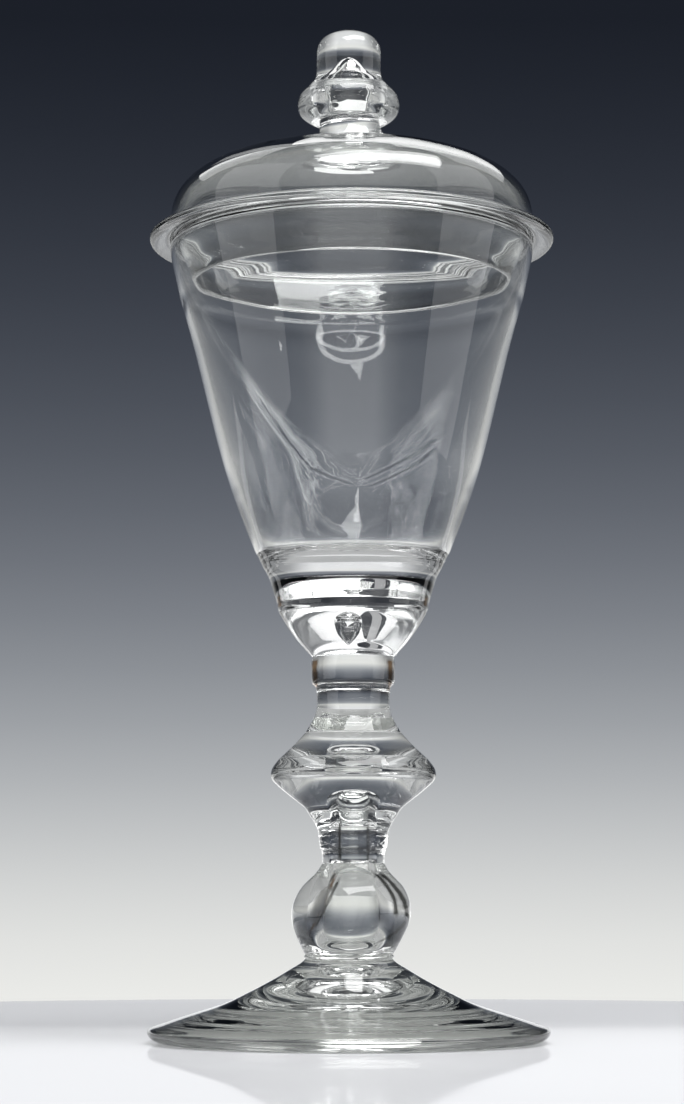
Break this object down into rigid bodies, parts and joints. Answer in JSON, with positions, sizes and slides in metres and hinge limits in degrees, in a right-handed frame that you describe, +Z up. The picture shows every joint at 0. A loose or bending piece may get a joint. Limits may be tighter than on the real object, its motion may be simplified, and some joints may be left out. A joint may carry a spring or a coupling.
{
  "type": "covered goblet",
  "caption": "Clear glass goblet with a tapering bowl on a knopped stem and wide conical foot, under a domed lift-off cover with an overhanging lip and finial.",
  "frame": {"origin": "centre of the foot's resting ring, in the plane that the goblet stands on", "axes": "+Z up along the axis of revolution; -Y faces the viewer of the picture, +X to that viewer's right"},
  "size_m": [0.124, 0.124, 0.3095],
  "materials": {
    "foot_glass": "polished",
    "stem_glass": "polished",
    "bowl_glass": "polished",
    "cover_glass": "polished"
  },
  "bodies": {
    "goblet": {"foot": "foot_glass", "basal_ring": "foot_glass", "baluster_ball": "stem_glass", "lower_neck": "stem_glass", "angular_knop": "stem_glass", "knop_shoulder": "stem_glass", "upper_collar": "stem_glass", "bowl_base": "bowl_glass", "bowl": "bowl_glass"},
    "cover": {"cover_flange": "cover_glass", "cover_dome": "cover_glass", "finial_neck": "cover_glass", "finial_knop": "cover_glass", "finial_button": "cover_glass"}
  },
  "joints": [
    {"name": "cover_lift", "type": "slide", "parent": "goblet", "child": "cover", "axis": [0, 0, 1], "range_m": [0, 0.12]}
  ]
}
